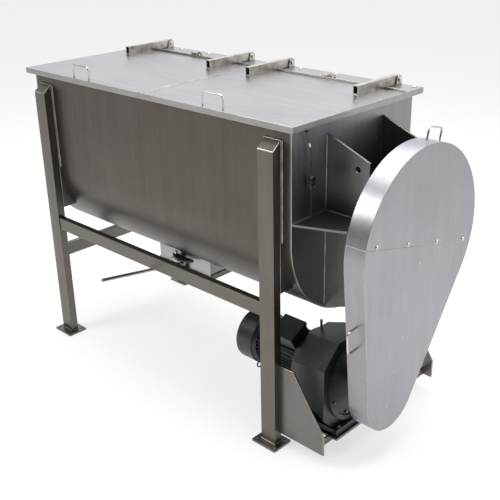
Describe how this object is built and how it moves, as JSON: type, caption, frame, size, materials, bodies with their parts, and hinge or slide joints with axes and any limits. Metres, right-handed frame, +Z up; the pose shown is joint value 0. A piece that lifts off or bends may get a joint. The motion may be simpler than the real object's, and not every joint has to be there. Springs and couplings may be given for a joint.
{
  "type": "ribbon blender",
  "caption": "U-trough powder blender on a tube frame: double ribbon agitator with a chain drive under a teardrop guard, hinged covers, gearmotor and a slide gate.",
  "frame": {"origin": "on the floor, under the centre of the machine's box", "axes": "+X along the trough towards the drive end, +Y to the rear, the hinge side, +Z up"},
  "size_m": [2.065, 1.1124, 1.4067],
  "materials": {
    "satin_stainless": "satin",
    "bright_stainless": "polished",
    "agitator_stainless": "satin",
    "gasket_rubber": "matte",
    "drive_steel": "oiled",
    "machine_paint": "satin",
    "bearing_iron": "satin",
    "black_plastic": "matte",
    "cord_jacket": "matte"
  },
  "bodies": {
    "machine": {"cord_gland": "black_plastic", "cord_hank": "cord_jacket", "cover_lock_lugs": "satin_stainless", "discharge_box": "satin_stainless", "drive_bearing": "bearing_iron", "drive_bearing_plate": "satin_stainless", "drive_end_gussets": "satin_stainless", "drive_end_plate": "satin_stainless", "fixed_cover_strip": "satin_stainless", "foot_plates": "satin_stainless", "gate_guides": "satin_stainless", "gearbox_fasteners": "drive_steel", "gearbox_housing": "machine_paint", "guard_back_plate": "satin_stainless", "hinge_brackets": "satin_stainless", "hinge_pins": "bright_stainless", "idle_bearing": "bearing_iron", "idle_bearing_bracket": "satin_stainless", "idle_end_plate": "satin_stainless", "idle_end_rail": "satin_stainless", "interlock_cord": "cord_jacket", "leg_brackets": "satin_stainless", "leg_caps": "satin_stainless", "legs": "satin_stainless", "motor_base_gussets": "satin_stainless", "motor_base_plates": "satin_stainless", "motor_fan_cover": "machine_paint", "motor_frame": "machine_paint", "motor_terminal_box": "machine_paint", "rim_gasket": "gasket_rubber", "roller_chain": "drive_steel", "shaft_seals": "agitator_stainless", "side_rails": "satin_stainless", "strip_bolts": "bright_stainless", "trough_shell": "satin_stainless"},
    "cover_left_lid": {"cover_left": "satin_stainless", "cover_left_handle": "bright_stainless", "cover_left_hinge_arms": "satin_stainless"},
    "cover_right_lid": {"cover_right": "satin_stainless", "cover_right_handle": "bright_stainless", "cover_right_hinge_arms": "satin_stainless"},
    "agitator": {"agitator_shaft": "agitator_stainless", "outer_ribbons": "agitator_stainless", "inner_ribbons": "agitator_stainless", "ribbon_spokes": "agitator_stainless", "driven_sprocket": "drive_steel"},
    "gearbox_output": {"output_shaft": "drive_steel", "drive_sprocket": "drive_steel"},
    "motor_rotor": {"motor_fan": "black_plastic"},
    "gate": {"discharge_gate": "satin_stainless", "pull_rod": "bright_stainless"},
    "gate_lever": {"gate_lock_lever": "black_plastic", "lever_spindle": "bright_stainless"},
    "guard_cover": {"guard_upper": "satin_stainless", "guard_lower": "satin_stainless", "guard_handles": "bright_stainless", "guard_fasteners": "bright_stainless"}
  },
  "joints": [
    {"name": "cover_left_hinge", "type": "hinge", "parent": "machine", "child": "cover_left_lid", "pos_m": [-0.5055, 0.48921, 1.37], "axis": [-1, 0, 0], "range_deg": [0, 95]},
    {"name": "cover_right_hinge", "type": "hinge", "parent": "machine", "child": "cover_right_lid", "pos_m": [0.3225, 0.48921, 1.37], "axis": [-1, 0, 0], "range_deg": [0, 95]},
    {"name": "agitator_spin", "type": "hinge", "parent": "machine", "child": "agitator", "pos_m": [-0.0915, 0.10921, 0.891], "axis": [1, 0, 0], "continuous": true, "deforming": ["roller_chain"]},
    {"name": "output_spin", "type": "hinge", "parent": "machine", "child": "gearbox_output", "pos_m": [0.9085, -0.04441, 0.29702], "axis": [1, 0, 0], "continuous": true},
    {"name": "motor_spin", "type": "hinge", "parent": "machine", "child": "motor_rotor", "pos_m": [0.3385, -0.04441, 0.29702], "axis": [1, 0, 0], "continuous": true},
    {"name": "gate_slide", "type": "slide", "parent": "machine", "child": "gate", "axis": [0, -1, 0], "range_m": [0, 0.25]},
    {"name": "lever_turn", "type": "hinge", "parent": "machine", "child": "gate_lever", "pos_m": [-0.1205, -0.11579, 0.56], "axis": [0, 0, -1], "range_deg": [0, 90]},
    {"name": "guard_pull", "type": "slide", "parent": "machine", "child": "guard_cover", "axis": [1, 0, 0], "range_m": [0, 0.25]}
  ],
  "couplings": [
    {"joint": "output_spin", "follows": "agitator_spin", "ratio": 3},
    {"joint": "motor_spin", "follows": "agitator_spin", "ratio": 45}
  ]
}
